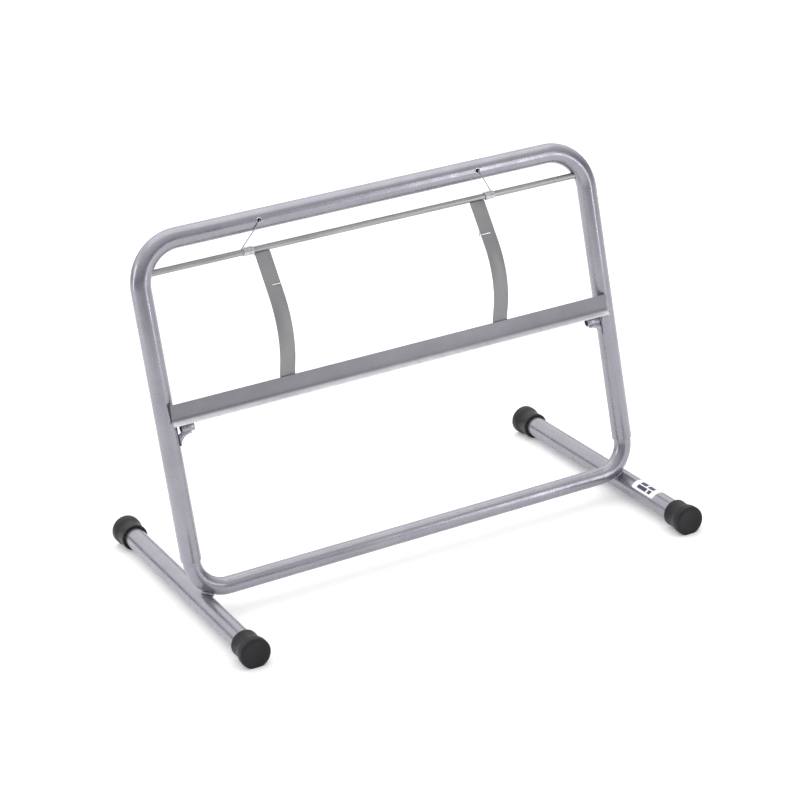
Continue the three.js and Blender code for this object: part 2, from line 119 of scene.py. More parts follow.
SOCKET_RADIUS = 5.8
SOCKET_BORE = 4.4
SOCKET_RIM = 0.35
SOCKET_OUTER_X = 292.8
SOCKET_INNER_X = 276.3
SOCKET_Z = 207.0
SOCKET_FORWARD = 5.9
GUSSET_INNER_X = 279.8
GUSSET_HOLLOW = 0.18
GUSSET_THICKNESS = 3.0
GUSSET_DROP = 15.0
GUSSET_LIP = 2.0
GUSSET_EDGE = 0.4
WELD_GAP = 0.3

WIRE_RADIUS = 0.7
WIRE_DOME = (0.3, 0.6)  # how far a wire's end bulges and its last ring's radius, as shares of the radius
COIL_RADIUS = 5.1
COIL_TURNS = 8
COIL_PITCH = 1.62
COIL_INNER_X = 159.9
SPRING_LEG = 48.0
SPRING_TIP = 13.0
HOOK_HOLE_X = 150.0
HOOK_HOLE_RADIUS = 2.6
HOOK_CLEARANCE = 0.6
HOOK_REACH = 4.0
SPRING_TIP_BEND = 1.2
SPRING_HOOK_BEND = 1.5

LABEL_LENGTH = 50.0
LABEL_ARC = math.radians(78)
LABEL_TILT = math.radians(16)
LABEL_Y = -116.0
LABEL_CORNER = 1.6
LABEL_CLEARANCE = 0.05
PRINT_CORNER = 0.3
PRINT_SINK = 0.02
PRINT_RISE = 0.05
PRINT_BARS = [  # (from, to) across the label and along it, as shares of its width and length
    ((0.16, 0.45), (0.20, 0.46)),
    ((0.16, 0.45), (0.53, 0.80)),
    ((0.55, 0.84), (0.20, 0.33)),
    ((0.55, 0.84), (0.40, 0.80)),
]

WELD_RIPPLE = 1.7  # from one ripple of a bead to the next
WELD_HOLLOW = 0.84  # a bead's radius between ripples, as a share of its full radius
WELD_CREST = 0.2  # how much a ripple's crest adds to that share
WELD_TAPER = 0.45  # a bead's radius at an open end, as a share of the radius there
FOOT_WELD_REACH = (5.6, 6.4)  # along the foot tube and across it
FOOT_WELD_RADIUS = 1.6
STRIP_WELD_INSET = 1.0  # from an arm's edge to the end of a bead
ROD_WELD_RADIUS = 1.1
ROD_WELD_BACK = 0.5
ROD_WELD_DROP = 0.1
TAB_WELD_RADIUS = 1.2
TAB_WELD_BACK = 0.7
TAB_WELD_DROP = 0.5
TAB_SIDE_WELD_RADIUS = 1.0
TAB_SIDE_WELD_BACK = 0.6
TAB_SIDE_WELD_INSETS = (1.5, 2.5)  # from the tab's end and from the bar's top
GUSSET_WELD_RADIUS = 0.9
GUSSET_WELD_DROP = 1.0
GUSSET_WELD_SINK = 0.2
SOCKET_WELD_RADIUS = 0.8
SOCKET_WELD_RISE = 0.3
SOCKET_WELD_INSETS = (1.2, 1.5)  # from the gusset's free edge and from the upright
HOLE_LIP_RADIUS = 0.45
HOLE_LIP_OFFSET = 0.5

# ---- mesh detail
TUBE_SIDES = 56
BEND_STEPS = 22
FOOT_STEPS = 12
HOLE_SIDES = 40
HOLE_REACH = 8.0  # closer rings lie within this distance of a hook hole, in mm
HOLE_RINGS = 4
CUT_OVERSHOOT = 3.0
CAP_SIDES = 72
CAP_RIM_STEPS = 5
CAP_FLARE_STEPS = 14
LABEL_ROWS = 24
LABEL_COLUMNS = 16
ROD_SIDES = 40
ROD_STATIONS = 30
BAR_BEND_STEPS = 12
ARM_BEND_STEPS = 20
GUSSET_STEPS = 16
WIRE_SIDES = 12
WIRE_BEND_STEPS = 8
COIL_STEPS = 28  # per turn
BEAD_SIDES = 14
BEAD_STEP = 0.35
FOOT_WELD_STEPS = 48
HOLE_LIP_SIDES = 10
HOLE_LIP_STEPS = 32
CRISP_ANGLE = 40  # edges sharper than this stay crisp, in degrees
STRIP_CRISP_ANGLE = 30
EASED_ANGLE = 50
SIDES = (("left", -1), ("right", 1))

# ---- light and surroundings
WORLD_STRENGTH = 1.5
WORLD_SEAM = (-0.3, 0.35)  # Y of the directions where the front room ends and the backdrop is full
FLOOR_SIZE = 80  # metres
FLOOR_DROP = 0.0004  # metres; keeps the floor clear of the feet's flat undersides
NOISE_LOW = 0.3  # most values of a noise texture lie between these two
NOISE_HIGH = 0.7

# ---- camera, in metres and degrees
CAMERA_PLACE = (-1.1932, -2.5419, 1.3281)
CAMERA_HEADING = math.radians(25.47)  # from +Y towards +X
CAMERA_DIP = math.radians(22.17)
CAMERA_ROLL = math.radians(-4.81)
CAMERA_LENS = 106.5
SENSOR_WIDTH = 36
CLIP_NEAR = 0.1
CLIP_FAR = 60


# ---- placing and paths
def in_frame(x, forward, height):
    """A point of the leaning frame: across, in front of its plane and up the slope, in mm."""
    y = -FRAME_SETBACK + height * math.sin(LEAN) - forward * math.cos(LEAN)
    z = CROSSBAR_Z + height * math.cos(LEAN) + forward * math.sin(LEAN)
    return Vector((x, y, z))


def round_corners(points, radii, steps):
    """The polyline with each inner corner replaced by an arc of its own radius."""
    points = [Vector(p) for p in points]
    rounded = [points[0]]
    for i in range(1, len(points) - 1):
        to_last = (points[i - 1] - points[i]).normalized()
        to_next = (points[i + 1] - points[i]).normalized()
        half = to_last.angle(to_next) / 2
        radius = radii[i - 1]
        centre = points[i] + (to_last + to_next).normalized() * (radius / math.sin(half))
        reach = radius / math.tan(half)
        start = points[i] + to_last * reach - centre
        end = points[i] + to_next * reach - centre
        turn = math.pi - 2 * half
        for step in range(steps + 1):
            share = turn * step / steps
            arm = start * math.sin(turn - share) + end * math.sin(share)
            rounded.append(centre + arm / math.sin(turn))
    rounded.append(points[-1])
    return rounded


def with_extra_stations(path, spots, reach, count):
    """Adds stations around each spot that lies on a straight stretch of the path."""
    out = [path[0]]
    for a, b in zip(path, path[1:]):
        along = b - a
        length = along.length
        shares = set()
        for spot in spots:
            middle = (spot - a).dot(along) / length
            if reach < middle < length - reach:
                for i in range(-count, count + 1):
                    shares.add((middle + reach * i / count) / length)
        for share in sorted(shares):
            out.append(a + along * share)
        out.append(b)
    return out


def path_frames(path):
    """(tangent, side, up) at each station, carried along the path without twist."""
    tangents = []
    for i, point in enumerate(path):
        before = path[max(i - 1, 0)]
        after = path[min(i + 1, len(path) - 1)]
        into = (point - before).normalized() if i > 0 else Vector()
        out_of = (after - point).normalized() if i < len(path) - 1 else Vector()
        tangents.append((into + out_of).normalized())
    start = Vector((0, 0, 1)) if abs(tangents[0].z) < 0.9 else Vector((0, 1, 0))
    side = tangents[0].cross(start).normalized()
    frames = []
    for tangent in tangents:
        side = (side - tangent * side.dot(tangent)).normalized()
        frames.append((tangent, side, tangent.cross(side)))
    return frames


# ---- mesh building
def new_piece(name, vertices, faces, body, material, smooth_angle=CRISP_ANGLE):
    """A piece from points in mm, with its normals turned outwards, riding on a body."""
    mesh = bpy.data.meshes.new(name)
    mesh.from_pydata([Vector(v) * MM for v in vertices], [], faces)
    editable = bmesh.new()
    editable.from_mesh(mesh)
    bmesh.ops.recalc_face_normals(editable, faces=editable.faces)
    editable.to_mesh(mesh)
    editable.free()
    piece = bpy.data.objects.new(name, mesh)
    bpy.context.scene.collection.objects.link(piece)
    smooth(piece, smooth_angle)
    piece.data.materials.append(material)
    if body:
        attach(piece, body)
    return piece


def smooth(piece, angle):
    """Smooth shading, with edges sharper than the angle kept crisp."""
    mesh = piece.data
    mesh.shade_smooth()
    mesh.set_sharp_from_angle(angle=math.radians(angle))


def ring_points(centre, side, up, radius, sides):
    """Points on a circle, from side towards up."""
    ring = []
    for i in range(sides):
        angle = 2 * math.pi * i / sides
        ring.append(centre + side * (radius * math.cos(angle)) + up * (radius * math.sin(angle)))
    return ring


def grid_faces(rows, columns, close_rows, first=0):
    """Quads between rows of points; each row is a closed loop."""
    faces = []
    for r in range(rows if close_rows else rows - 1):
        below = first + r * columns
        above = first + ((r + 1) % rows) * columns
        for c in range(columns):
            d = (c + 1) % columns
            faces.append((below + c, below + d, above + d, above + c))
    return faces


def solid_faces(rows, columns, first=0):
    """Quads between closed rows of points, with a face over the first and the last row."""
    last = first + (rows - 1) * columns
    faces = grid_faces(rows, columns, close_rows=False, first=first)
    faces.append(tuple(range(first + columns - 1, first - 1, -1)))
    faces.append(tuple(range(last, last + columns)))
    return faces


def tube_rings(path, outer, inner, rim):
    """Rings of a hollow tube: out along the outside, round the rim and back along the bore."""
    frames = path_frames(path)
    last = len(path) - 1
    rings = []
    for i, point in enumerate(path):
        tangent = frames[i][0]
        inset = rim if i == 0 else -rim if i == last else 0
        rings.append((point + tangent * inset, i, outer))
    rings.append((path[last] - frames[last][0] * RIM_SHOULDER * rim, last, outer - RIM_SHOULDER * rim))
    rings.append((path[last], last, outer - rim))
    for i in range(last, -1, -1):
        rings.append((path[i], i, inner))
    rings.append((path[0], 0, outer - rim))
    rings.append((path[0] + frames[0][0] * RIM_SHOULDER * rim, 0, outer - RIM_SHOULDER * rim))
    points = []
    for centre, i, radius in rings:
        points += ring_points(centre, frames[i][1], frames[i][2], radius, TUBE_SIDES)
    return points, grid_faces(len(rings), TUBE_SIDES, close_rows=True)


def tube_piece(name, path, outer, wall, body, rim=TUBE_RIM):
    """A silver hollow tube along a path."""
    points, faces = tube_rings(path, outer, outer - wall, rim)
    return new_piece(name, points, faces, body, SILVER)


def wire_mesh(path, radii, sides, points, faces):
    """Adds a solid round wire with domed ends to lists of points and faces."""
    frames = path_frames(path)
    first = len(points)
    bulge, narrow = WIRE_DOME
    rings = [(path[0] - frames[0][0] * bulge * radii[0], 0, narrow * radii[0])]
    rings += [(point, i, radii[i]) for i, point in enumerate(path)]
    last = len(path) - 1
    rings.append((path[last] + frames[last][0] * bulge * radii[last], last, narrow * radii[last]))
    for centre, i, radius in rings:
        points += ring_points(centre, frames[i][1], frames[i][2], radius, sides)
    faces += solid_faces(len(rings), sides, first)


def wire_piece(name, path, body, material):
    """A piece of spring wire along a path."""
    points, faces = [], []
    wire_mesh(path, [WIRE_RADIUS] * len(path), WIRE_SIDES, points, faces)
    return new_piece(name, points, faces, body, material)


def strip_piece(name, centreline, thickness, from_x, to_x, material, edge):
    """A flat strip of the swinging part, bent along a (forward, height) line, with its edges eased."""
    line = [Vector((p[0], p[1], 0)) for p in centreline]
    points = []
    for i, point in enumerate(line):
        into = (point - line[max(i - 1, 0)]).normalized()
        out_of = (line[min(i + 1, len(line) - 1)] - point).normalized()
        direction = (into + out_of).normalized()
        reach = thickness / 2 / max(direction.dot(into), direction.dot(out_of))
        normal = Vector((-direction.y, direction.x, 0)) * reach
        for x, corner in ((from_x, point + normal), (to_x, point + normal),
                          (to_x, point - normal), (from_x, point - normal)):
            points.append(in_frame(x, corner.x, corner.y))
    faces = solid_faces(len(line), 4)
    piece = new_piece(name, points, faces, "swing", material, STRIP_CRISP_ANGLE)
    ease_edges(piece, edge)
    return piece


def ease_edges(piece, width):
    """Rounds every sharp edge of a piece by a small radius, in mm."""
    mesh = bmesh.new()
    mesh.from_mesh(piece.data)
    limit = math.radians(EASED_ANGLE)
    sharp = [e for e in mesh.edges if e.is_manifold and e.calc_face_angle() > limit]
    bmesh.ops.bevel(mesh, geom=sharp, offset=width * MM, offset_type="OFFSET", segments=2,
                    profile=0.5, affect="EDGES", clamp_overlap=True)
    bmesh.ops.recalc_face_normals(mesh, faces=mesh.faces)
    mesh.to_mesh(piece.data)
    mesh.free()
    smooth(piece, EASED_ANGLE)


def cut_cylinder(piece, start, end, radius):
    """Cuts a round hole through a piece between two points, in mm."""
    axis = (end - start).normalized()
    askew = Vector((0.31, 0.27, 0.91))  # along no axis, so the cutter's corners miss the tube's
    side = axis.cross(askew).normalized()
    points = []
    for centre in (start, end):
        points += ring_points(centre, side, axis.cross(side), radius, HOLE_SIDES)
    faces = solid_faces(2, HOLE_SIDES)
    cutter = new_piece(piece.name + "_cutter", points, faces, None, piece.data.materials[0])
    modifier = piece.modifiers.new("hole", "BOOLEAN")
    modifier.operation = "DIFFERENCE"
    modifier.solver = "EXACT"
    modifier.object = cutter
    bpy.context.view_layer.update()
    evaluated = piece.evaluated_get(bpy.context.evaluated_depsgraph_get())
    result = bpy.data.meshes.new_from_object(evaluated)
    old = piece.data
    piece.modifiers.clear()
    piece.data = result
    bpy.data.meshes.remove(old)
    bpy.data.objects.remove(cutter)


# ---- materials
def node_material(name):
    """A new material, with its nodes, its links and its Principled shader."""
    material = bpy.data.materials.new(name)
    material.use_nodes = True
    tree = material.node_tree
    return material, tree.nodes, tree.links, tree.nodes["Principled BSDF"]


def own_place(nodes):
    """The piece's own coordinates, in metres, which ride with it."""
    return nodes.new("ShaderNodeTexCoord").outputs["Object"]


def noise(nodes, links, coordinates, scale, detail=3.0, stretch=None):
    """A noise texture on the piece's own coordinates, in features per metre."""
    source = coordinates
    if stretch:
        mapping = nodes.new("ShaderNodeMapping")
        mapping.inputs["Scale"].default_value = stretch
        links.new(coordinates, mapping.inputs["Vector"])
        source = mapping.outputs["Vector"]
    texture = nodes.new("ShaderNodeTexNoise")
    texture.inputs["Scale"].default_value = scale
    texture.inputs["Detail"].default_value = detail
    links.new(source, texture.inputs["Vector"])
    return texture.outputs["Fac"]


def ramp(nodes, links, value, stops):
    """Maps a value to colours; each stop is (position, (r, g, b))."""
    node = nodes.new("ShaderNodeValToRGB")
    elements = node.color_ramp.elements
    while len(elements) < len(stops):
        elements.new(0.5)
    for element, (position, colour) in zip(elements, stops):
        element.position = position
        element.color = (*colour, 1)
    links.new(value, node.inputs["Fac"])
    return node.outputs["Color"]


def map_range(nodes, links, value, low, high, to_low, to_high):
    """Maps a value from one range to another, held at its ends."""
    node = nodes.new("ShaderNodeMapRange")
    node.inputs["From Min"].default_value = low
    node.inputs["From Max"].default_value = high
    node.inputs["To Min"].default_value = to_low
    node.inputs["To Max"].default_value = to_high
    links.new(value, node.inputs["Value"])
    return node.outputs["Result"]


def tint(nodes, links, pattern, dark, light):
    """Colours a noise pattern from dark to light."""
    return ramp(nodes, links, pattern, [(NOISE_LOW, dark), (NOISE_HIGH, light)])


def spread(nodes, links, pattern, low, high):
    """Maps a noise pattern to values between low and high."""
    return map_range(nodes, links, pattern, NOISE_LOW, NOISE_HIGH, low, high)


def mix_colour(nodes, links, factor, first, second, blend="MIX"):
    """Mixes two colours; the factor and the colours are sockets or plain values."""
    node = nodes.new("ShaderNodeMix")
    node.data_type = "RGBA"
    node.blend_type = blend
    sockets = (node.inputs[0], node.inputs[6], node.inputs[7])
    for socket, value in zip(sockets, (factor, first, second)):
        if isinstance(value, bpy.types.NodeSocket):
            links.new(value, socket)
        else:
            socket.default_value = value
    return node.outputs[2]


def bump(nodes, links, height, distance_mm, strength):
    """A surface normal roughened by a pattern."""
    node = nodes.new("ShaderNodeBump")
    node.inputs["Strength"].default_value = strength
    node.inputs["Distance"].default_value = distance_mm * MM
    links.new(height, node.inputs["Height"])
    return node.outputs["Normal"]


def silver_paint(name, dark, light, roughness, metallic, coat):
    """Stoved silver paint: cloudy metal flake, slight orange peel, and a painted highlight that lightens
    its sharp edges a little.
    """
    material, nodes, links, surface = node_material(name)
    place = own_place(nodes)
    cloud = noise(nodes, links, place, 26, 4)
    colour = tint(nodes, links, cloud, dark, light)
    flake = noise(nodes, links, place, 600, 2)
    sparkle = tint(nodes, links, flake, (0.975, 0.975, 0.975), (1.0, 1.0, 1.0))
    colour = mix_colour(nodes, links, 1.0, colour, sparkle, "MULTIPLY")
    # Painted highlight: sharp convex edges, found by pointiness, are mixed a little towards a paler grey.
    edge = nodes.new("ShaderNodeNewGeometry").outputs["Pointiness"]
    edge_highlight = map_range(nodes, links, edge, 0.53, 0.62, 0.0, 0.3)
    colour = mix_colour(nodes, links, edge_highlight, colour, (0.5, 0.49, 0.53, 1))
    links.new(colour, surface.inputs["Base Color"])
    dulling = noise(nodes, links, place, 75, 3)
    rough = spread(nodes, links, dulling, roughness - 0.04, roughness + 0.05)
    links.new(rough, surface.inputs["Roughness"])
    peel = bump(nodes, links, noise(nodes, links, place, 180, 2), 0.012, 0.04)
    links.new(peel, surface.inputs["Normal"])
    surface.inputs["Metallic"].default_value = metallic
    surface.inputs["Coat Weight"].default_value = coat
    surface.inputs["Coat Roughness"].default_value = 0.12
    return material


def paint_lip_highlight(material, face_y, lip_y):
    """Paints a pale highlight into a paint's colour forwards of the bar's face, over its lip, a little
    unevenly.
    """
    nodes, links = material.node_tree.nodes, material.node_tree.links
    surface = nodes["Principled BSDF"]
    place = own_place(nodes)
    split = nodes.new("ShaderNodeSeparateXYZ")
    links.new(place, split.inputs["Vector"])
    # Painted highlight: forwards of the bar's face, the lip's colour is mixed towards pale metal, a little
    # unevenly.
    lightened = map_range(nodes, links, split.outputs["Y"], face_y, lip_y, 0.0, 1.0)
    highlight_patches = map_range(nodes, links, noise(nodes, links, place, 60, 4), 0.35, 0.65, 0.82, 1.0)
    share = nodes.new("ShaderNodeMath")
    share.operation = "MULTIPLY"
    links.new(lightened, share.inputs[0])
    links.new(highlight_patches, share.inputs[1])
    paint = surface.inputs["Base Color"].links[0].from_socket
    colour = mix_colour(nodes, links, share.outputs["Value"], paint, (0.72, 0.71, 0.74, 1))
    links.new(colour, surface.inputs["Base Color"])


def drawn_steel():
    """Bright drawn rod: fine lines along its length and a few dull patches."""
    material, nodes, links, surface = node_material("drawn_steel_look")
    place = own_place(nodes)
    lines = noise(nodes, links, place, 900, 3, stretch=(0.02, 1, 1))
    patches = noise(nodes, links, place, 30, 3)
    colour = tint(nodes, links, lines, (0.30, 0.30, 0.305), (0.40, 0.40, 0.405))
    dull = ramp(nodes, links, patches, [(0.35, (0.9, 0.9, 0.9)), (0.65, (1.04, 1.04, 1.04))])
    links.new(mix_colour(nodes, links, 1.0, colour, dull, "MULTIPLY"), surface.inputs["Base Color"])
    rough = spread(nodes, links, patches, 0.3, 0.44)
    links.new(rough, surface.inputs["Roughness"])
    links.new(bump(nodes, links, lines, 0.02, 0.3), surface.inputs["Normal"])
    surface.inputs["Metallic"].default_value = 0.85
    return material


def zinc_wire(name, dark, light):
    """Plated spring wire with a slight grain."""
    material, nodes, links, surface = node_material(name)
    place = own_place(nodes)
    grain = noise(nodes, links, place, 1400, 2)
    colour = tint(nodes, links, grain, dark, light)
    links.new(colour, surface.inputs["Base Color"])
    rough = spread(nodes, links, noise(nodes, links, place, 200, 2), 0.22, 0.34)
    links.new(rough, surface.inputs["Roughness"])
    links.new(bump(nodes, links, grain, 0.01, 0.2), surface.inputs["Normal"])
    surface.inputs["Metallic"].default_value = 0.9
    return material


def black_rubber():
    """Moulded rubber: dark grey, finely grained, a little paler on its raised edges."""
    material, nodes, links, surface = node_material("black_rubber_look")
    place = own_place(nodes)
    bloom = noise(nodes, links, place, 55, 5)
    colour = ramp(nodes, links, bloom, [(0.35, (0.006, 0.006, 0.0075)), (0.7, (0.012, 0.012, 0.0145))])
    # raised edges, found by pointiness, are mixed a little towards a paler grey
    edge = nodes.new("ShaderNodeNewGeometry").outputs["Pointiness"]
    lightened = map_range(nodes, links, edge, 0.52, 0.6, 0.0, 0.4)
    colour = mix_colour(nodes, links, lightened, colour, (0.03, 0.03, 0.034, 1))
    links.new(colour, surface.inputs["Base Color"])
    rough = spread(nodes, links, bloom, 0.42, 0.56)
    links.new(rough, surface.inputs["Roughness"])
    grain = bump(nodes, links, noise(nodes, links, place, 1100, 2), 0.08, 0.35)
    links.new(grain, surface.inputs["Normal"])
    surface.inputs["Specular IOR Level"].default_value = 0.3
    return material


def weld_metal():
    """Weld beads under the same silver paint, a little darker and rougher."""
    material, nodes, links, surface = node_material("painted_weld_look")
    place = own_place(nodes)
    spatter = noise(nodes, links, place, 700, 4)
    colour = tint(nodes, links, spatter, (0.29, 0.28, 0.33), (0.40, 0.39, 0.44))
    links.new(colour, surface.inputs["Base Color"])
    rough = spread(nodes, links, spatter, 0.46, 0.62)
    links.new(rough, surface.inputs["Roughness"])
    links.new(bump(nodes, links, spatter, 0.2, 0.5), surface.inputs["Normal"])
    surface.inputs["Metallic"].default_value = 0.65
    return material


def label_paper():
    """Coated white sticker paper with faint fibres."""
    material, nodes, links, surface = node_material("label_paper_look")
    place = own_place(nodes)
    fibres = noise(nodes, links, place, 500, 4)
    colour = tint(nodes, links, fibres, (0.82, 0.82, 0.85), (0.9, 0.9, 0.92))
    links.new(colour, surface.inputs["Base Color"])
    rough = spread(nodes, links, fibres, 0.38, 0.5)
    links.new(rough, surface.inputs["Roughness"])
    links.new(bump(nodes, links, fibres, 0.02, 0.2), surface.inputs["Normal"])
    return material


def label_ink():
    """Dark blue-black print, slightly uneven."""
    material, nodes, links, surface = node_material("label_ink_look")
    place = own_place(nodes)
    patchy = noise(nodes, links, place, 900, 3)
    colour = tint(nodes, links, patchy, (0.018, 0.018, 0.04), (0.04, 0.04, 0.085))
    links.new(colour, surface.inputs["Base Color"])
    links.new(spread(nodes, links, patchy, 0.35, 0.5), surface.inputs["Roughness"])
    return material


SILVER = silver_paint("tube_paint_look", (0.285, 0.278, 0.315), (0.325, 0.317, 0.357), 0.27, 0.78, 0.15)
BAR_PAINT = silver_paint("bar_paint_look", (0.215, 0.211, 0.234), (0.245, 0.241, 0.265), 0.45, 0.6, 0.0)
ARM_PAINT = silver_paint("arm_paint_look", (0.235, 0.233, 0.238), (0.27, 0.268, 0.273), 0.46, 0.6, 0.0)
STEEL = drawn_steel()
ZINC = zinc_wire("zinc_wire_look", (0.66, 0.66, 0.67), (0.82, 0.82, 0.83))
# A darker copy of the spring wire's zinc, for its hook legs: painted shade.
SHADED_ZINC = zinc_wire("shaded_wire_look", (0.30, 0.30, 0.32), (0.42, 0.42, 0.44))
RUBBER = black_rubber()
WELD = weld_metal()
PAPER = label_paper()
INK = label_ink()


# ---- tube frame
def u_path(leg_height, straight_height, bend_radius):
    """A U in the leaning frame: two legs that end at one height, joined straight across at another."""
    corners = [
        in_frame(-HALF_SPACING, 0, leg_height),
        in_frame(-HALF_SPACING, 0, straight_height),
        in_frame(HALF_SPACING, 0, straight_height),
        in_frame(HALF_SPACING, 0, leg_height),
    ]
    return round_corners(corners, [bend_radius, bend_radius], BEND_STEPS)


def make_upper_hoop():
    """The hoop's tube, with holes for the rod's ends and the springs' hooks."""
    path = u_path(HOOP_LEG_END, FRAME_HEIGHT, HOOP_BEND)
    spots = [in_frame(side * HOOK_HOLE_X, 0, FRAME_HEIGHT) for _, side in SIDES]
    path = with_extra_stations(path, spots, HOLE_REACH, HOLE_RINGS)
    hoop = tube_piece("hoop_tube", path, HOOP_RADIUS, HOOP_WALL, "hoop")
    for _, side in SIDES:
        rod_start = in_frame(side * (HALF_SPACING - 2 * HOOP_RADIUS), 0, ROD_Z)
        rod_end = in_frame(side * HALF_SPACING, 0, ROD_Z)
        cut_cylinder(hoop, rod_start, rod_end, ROD_HOLE_RADIUS)
        hook_start = in_frame(side * HOOK_HOLE_X, 0, FRAME_HEIGHT)
        hook_end = in_frame(side * HOOK_HOLE_X, HOOP_RADIUS + CUT_OVERSHOOT, FRAME_HEIGHT)
        cut_cylinder(hoop, hook_start, hook_end, HOOK_HOLE_RADIUS)
    smooth(hoop, CRISP_ANGLE)
    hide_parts("upper_hoop")


def make_lower_tube():
    path = u_path(LOWER_BEND + LOWER_ENGAGEMENT, 0, LOWER_BEND)
    tube = tube_piece("lower_tube", path, LOWER_RADIUS, LOWER_WALL, "base")
    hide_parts("lower_u_tube")


def make_foot_tubes():
    half = FOOT_LENGTH / 2 - CAP_BASE - WELD_GAP
    for name, side in SIDES:
        path = []
        for i in range(FOOT_STEPS + 1):
            path.append(Vector((side * FOOT_X, -half + 2 * half * i / FOOT_STEPS, FOOT_Z)))
        foot = tube_piece(f"foot_bar_{name}", path, FOOT_RADIUS, FOOT_WALL, "base")
        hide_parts(f"foot_tube_{name}")


# ---- rubber feet
def cap_profile():
    """(radius, distance from the end face) from the face's centre to the bore's floor."""
    base, mouth = CAP_BASE_RADIUS, CAP_MOUTH_RADIUS
    profile = [
        (0.0, CAP_DISH_DEPTH),
        (CAP_DISH_RADIUS, CAP_DISH_DEPTH),
        (CAP_DISH_RADIUS + CAP_DISH_EDGE, 0.0),
        (base - CAP_RIM, 0.0),
    ]
    for i in range(1, CAP_RIM_STEPS + 1):
        angle = math.pi / 2 * i / CAP_RIM_STEPS
        profile.append((base - CAP_RIM * (1 - math.sin(angle)), CAP_RIM * (1 - math.cos(angle))))
    for i in range(CAP_FLARE_STEPS + 1):
        share = i / CAP_FLARE_STEPS
        ease = 0.5 + 0.5 * math.cos(math.pi * share)
        profile.append((mouth + (base - mouth) * ease, CAP_FLARE_START + CAP_FLARE_LENGTH * share))
    bead_start = CAP_LENGTH - CAP_BEAD_LENGTH
    edge_across, edge_along = CAP_MOUTH_EDGE
    profile += [
        (mouth, bead_start),
        (mouth + CAP_BEAD, bead_start + CAP_BEAD_SLOPE),
        (mouth + CAP_BEAD, CAP_LENGTH - edge_along),
        (mouth - edge_across, CAP_LENGTH),
        (CAP_BORE_RADIUS + CAP_BORE_EDGE, CAP_LENGTH),
        (CAP_BORE_RADIUS, CAP_LENGTH - CAP_BORE_EDGE),
        (CAP_BORE_RADIUS, CAP_BASE),
        (0.0, CAP_BASE),
    ]
    return profile


def cap_mesh(x, end):
    """The profile turned about a foot tube's axis; end is -1 at the front and 1 at the rear."""
    profile = cap_profile()
    centres = [Vector((x, end * (FOOT_LENGTH / 2 - depth), FOOT_Z)) for _, depth in profile]
    points = [centres[0]]
    for centre, (radius, _) in zip(centres[1:-1], profile[1:-1]):
        points += ring_points(centre, Vector((1, 0, 0)), Vector((0, 0, 1)), radius, CAP_SIDES)
    points.append(centres[-1])
    rows = len(profile) - 2
    faces = grid_faces(rows, CAP_SIDES, close_rows=False, first=1)
    last_row = 1 + (rows - 1) * CAP_SIDES
    last_point = len(points) - 1
    for i in range(CAP_SIDES):
        j = (i + 1) % CAP_SIDES
        faces.append((0, 1 + j, 1 + i))
        faces.append((last_point, last_row + i, last_row + j))
    return points, faces


def make_caps():
    for name, side in SIDES:
        for end_name, end in (("front", -1), ("rear", 1)):
            points, faces = cap_mesh(side * FOOT_X, end)
            cap = new_piece(f"ferrule_{end_name}_{name}", points, faces, "base", RUBBER)
            cut_flat_at_floor(cap)
            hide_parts(f"foot_cap_{end_name}_{name}")


def cut_flat_at_floor(piece):
    """Removes what is below the floor and closes the cut with a flat face."""
    mesh = bmesh.new()
    mesh.from_mesh(piece.data)
    everything = mesh.verts[:] + mesh.edges[:] + mesh.faces[:]
    cut = bmesh.ops.bisect_plane(mesh, geom=everything, plane_co=(0, 0, 0), plane_no=(0, 0, 1),
                                 clear_inner=True)
    edges = [e for e in cut["geom_cut"] if isinstance(e, bmesh.types.BMEdge)]
    bmesh.ops.edgeloop_fill(mesh, edges=edges)
    bmesh.ops.recalc_face_normals(mesh, faces=mesh.faces)
    mesh.to_mesh(piece.data)
    mesh.free()
    smooth(piece, CRISP_ANGLE)


# ---- label
def curved_patch(radii, angles, lengthways, corner, points, faces):
    """Adds a thin patch wrapped on the right foot tube, with rounded corners of a radius."""
    rows, columns = LABEL_ROWS, LABEL_COLUMNS
    first = len(points)
    from_y, to_y = lengthways
    middle = (angles[0] + angles[1]) / 2
    half_arc = (angles[1] - angles[0]) / 2
    for radius in radii:
        for r in range(rows + 1):
            y = from_y + (to_y - from_y) * r / rows
            depth = corner - min(y - from_y, to_y - y)
            narrowing = corner - math.sqrt(max(corner ** 2 - depth ** 2, 0)) if depth > 0 else 0
            half = half_arc - narrowing / radius
            for c in range(columns + 1):
                angle = middle + half * (2 * c / columns - 1)
                points.append(Vector((FOOT_X + radius * math.cos(angle), y,
                                      FOOT_Z + radius * math.sin(angle))))
    layer = (rows + 1) * (columns + 1)

    def at(side, r, c):
        return first + side * layer + r * (columns + 1) + c

    for r in range(rows):
        for c in range(columns):
            faces.append((at(0, r, c), at(0, r, c + 1), at(0, r + 1, c + 1), at(0, r + 1, c)))
            faces.append((at(1, r, c), at(1, r + 1, c), at(1, r + 1, c + 1), at(1, r, c + 1)))
    for r in range(rows):
        for c in (0, columns):
            faces.append((at(0, r, c), at(0, r + 1, c), at(1, r + 1, c), at(1, r, c)))
    for c in range(columns):
        for r in (0, rows):
            faces.append((at(0, r, c), at(0, r, c + 1), at(1, r, c + 1), at(1, r, c)))


